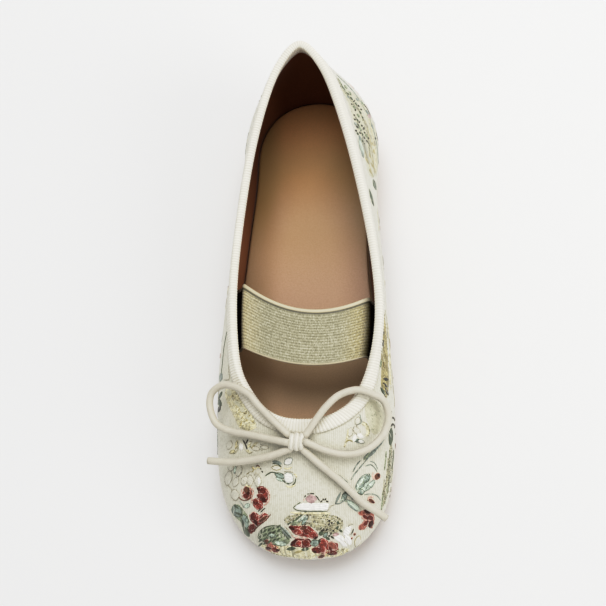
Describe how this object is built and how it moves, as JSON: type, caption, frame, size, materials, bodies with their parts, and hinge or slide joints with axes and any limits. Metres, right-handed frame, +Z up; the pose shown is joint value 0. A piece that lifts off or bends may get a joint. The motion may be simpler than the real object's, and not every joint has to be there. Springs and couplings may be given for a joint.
{
  "type": "embroidered cloth shoe",
  "caption": "Child's cloth ballet flat: hollow floral brocade upper with a ribbon-bound opening, elastic instep strap and cord bow, on a low moulded sole.",
  "frame": {"origin": "on the floor, under the middle of the shoe's plan box", "axes": "+Y from the toe to the heel, +X to the medial side of the foot, +Z up"},
  "size_m": [0.0708, 0.1991, 0.0576],
  "materials": {
    "sole": "matt moulded",
    "brocade": "satin weave with coloured thread flowers",
    "sock": "smooth",
    "ribbon": "ribbed",
    "elastic": "ribbed with pale edges",
    "cord": "smooth"
  },
  "bodies": {
    "root": {"outsole": "sole", "upper": "brocade", "insole": "sock", "topline_binding": "ribbon", "instep_strap": "elastic", "bow_knot": "cord", "bow_loop_lateral": "cord", "bow_loop_medial": "cord", "bow_tail_lateral": "cord", "bow_tail_medial": "cord"}
  },
  "joints": []
}
